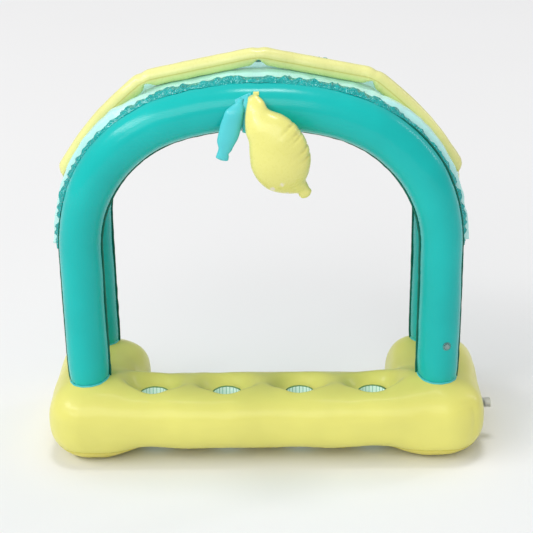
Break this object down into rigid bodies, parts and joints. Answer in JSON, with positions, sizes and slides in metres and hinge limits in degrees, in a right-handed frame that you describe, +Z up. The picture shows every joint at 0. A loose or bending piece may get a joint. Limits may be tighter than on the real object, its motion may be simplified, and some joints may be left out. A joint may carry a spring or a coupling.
{
  "type": "inflatable drinks bar with arches",
  "caption": "Blow-up drinks bar: U-shaped base with cup wells, two tube arches joined by a film roof with a ridge tube, a hanging lemon with leaves and a side hose fitting.",
  "frame": {"origin": "middle of the whole object's footprint box, on the floor that it stands on", "axes": "+X along the front bar to the viewer's right, +Y from the front to the open back, +Z up"},
  "size_m": [1.4372, 0.6202, 1.2971],
  "materials": {
    "base_film": "blown-up vinyl film, soft sheen",
    "bottom_film": "vinyl film, soft sheen",
    "well_film": "mint vinyl film, soft sheen",
    "arch_film": "taut teal vinyl film, soft sheen",
    "seam_film": "dark welded seam",
    "ring_film": "pale aqua vinyl weld ring",
    "sleeve_film": "glossy crinkled vinyl film",
    "roof_film": "pale mint vinyl film",
    "rib_film": "blown-up yellow vinyl film",
    "lemon_film": "blown-up lemon-yellow vinyl film",
    "leaf_film": "blown-up aqua vinyl film",
    "clear_plastic": "clear soft plastic, glossy",
    "washer_rubber": "dark rubber, matt"
  },
  "bodies": {
    "stand": {"base_bottom_sheet": "bottom_film", "base_shell": "base_film", "base_valve_flange": "clear_plastic", "canopy_film": "roof_film", "cup_well_1": "well_film", "cup_well_2": "well_film", "cup_well_3": "well_film", "cup_well_4": "well_film", "front_arch": "arch_film", "front_arch_inner_seam": "seam_film", "front_arch_outer_seam": "seam_film", "front_arch_valve_flange": "clear_plastic", "front_sleeve": "sleeve_film", "hose_flange": "ring_film", "hose_spigot": "clear_plastic", "leaf_small": "leaf_film", "leaf_web": "leaf_film", "leg_ring_front_left": "ring_film", "leg_ring_front_right": "ring_film", "leg_ring_rear_left": "ring_film", "leg_ring_rear_right": "ring_film", "lemon_tab": "lemon_film", "rear_arch": "arch_film", "rear_arch_inner_seam": "seam_film", "rear_arch_outer_seam": "seam_film", "rear_arch_valve_flange": "clear_plastic", "rear_sleeve": "sleeve_film", "ridge_tail_left": "rib_film", "ridge_tail_right": "rib_film", "ridge_tube": "rib_film", "ridge_valve_flange": "clear_plastic"},
    "lemon": {"lemon": "lemon_film", "lemon_valve_flange": "clear_plastic"},
    "leaf": {"leaf_large": "leaf_film"},
    "hose_nut": {"hose_nut": "clear_plastic", "hose_washer": "washer_rubber"},
    "front_arch_valve_stem": {"front_arch_valve_stem": "clear_plastic"},
    "front_arch_valve_cap": {"front_arch_valve_cap": "clear_plastic"},
    "rear_arch_valve_stem": {"rear_arch_valve_stem": "clear_plastic"},
    "rear_arch_valve_cap": {"rear_arch_valve_cap": "clear_plastic"},
    "base_valve_stem": {"base_valve_stem": "clear_plastic"},
    "base_valve_cap": {"base_valve_cap": "clear_plastic"},
    "ridge_valve_stem": {"ridge_valve_stem": "clear_plastic"},
    "ridge_valve_cap": {"ridge_valve_cap": "clear_plastic"},
    "lemon_valve_stem": {"lemon_valve_stem": "clear_plastic"},
    "lemon_valve_cap": {"lemon_valve_cap": "clear_plastic"}
  },
  "joints": [
    {"name": "lemon_swing", "type": "hinge", "parent": "stand", "child": "lemon", "pos_m": [-0.02291, -0.16604, 1.2025], "axis": [-0.91, 0, -0.4147], "range_deg": [0, 80]},
    {"name": "leaf_swing", "type": "hinge", "parent": "stand", "child": "leaf", "pos_m": [-0.06861, -0.18875, 1.17977], "axis": [-0.9563, 0, 0.2924], "range_deg": [0, 70]},
    {"name": "hose_nut_spin", "type": "hinge", "parent": "stand", "child": "hose_nut", "pos_m": [0.67795, -0.0674, 0.117], "axis": [1, 0, 0], "continuous": true},
    {"name": "front_arch_valve_pull", "type": "slide", "parent": "stand", "child": "front_arch_valve_stem", "axis": [0.309, -0.9511, 0], "range_m": [0, 0.012]},
    {"name": "front_arch_valve_cap_hinge", "type": "hinge", "parent": "front_arch_valve_stem", "child": "front_arch_valve_cap", "pos_m": [0.55946, -0.19784, 0.3852], "axis": [-0.9511, -0.309, 0], "range_deg": [0, 150]},
    {"name": "rear_arch_valve_pull", "type": "slide", "parent": "stand", "child": "rear_arch_valve_stem", "axis": [0.309, 0.9511, 0], "range_m": [0, 0.012]},
    {"name": "rear_arch_valve_cap_hinge", "type": "hinge", "parent": "rear_arch_valve_stem", "child": "rear_arch_valve_cap", "pos_m": [0.55946, 0.22504, 0.3852], "axis": [0.9511, -0.309, 0], "range_deg": [0, 150]},
    {"name": "base_valve_pull", "type": "slide", "parent": "stand", "child": "base_valve_stem", "axis": [0, 1, 0], "range_m": [0, 0.012]},
    {"name": "base_valve_cap_hinge", "type": "hinge", "parent": "base_valve_stem", "child": "base_valve_cap", "pos_m": [-0.57165, 0.3087, 0.1322], "axis": [1, 0, 0], "range_deg": [0, 150]},
    {"name": "ridge_valve_pull", "type": "slide", "parent": "stand", "child": "ridge_valve_stem", "axis": [0, 1, 0], "range_m": [0, 0.009]},
    {"name": "ridge_valve_cap_hinge", "type": "hinge", "parent": "ridge_valve_stem", "child": "ridge_valve_cap", "pos_m": [0.08831, 0.0445, 1.24827], "axis": [1, 0, 0], "range_deg": [0, 150]},
    {"name": "lemon_valve_pull", "type": "slide", "parent": "lemon", "child": "lemon_valve_stem", "axis": [0, 1, 0], "range_m": [0, 0.009]},
    {"name": "lemon_valve_cap_hinge", "type": "hinge", "parent": "lemon_valve_stem", "child": "lemon_valve_cap", "pos_m": [0.05744, -0.2082, 1.00933], "axis": [0.91, 0, 0.4147], "range_deg": [0, 150]}
  ]
}
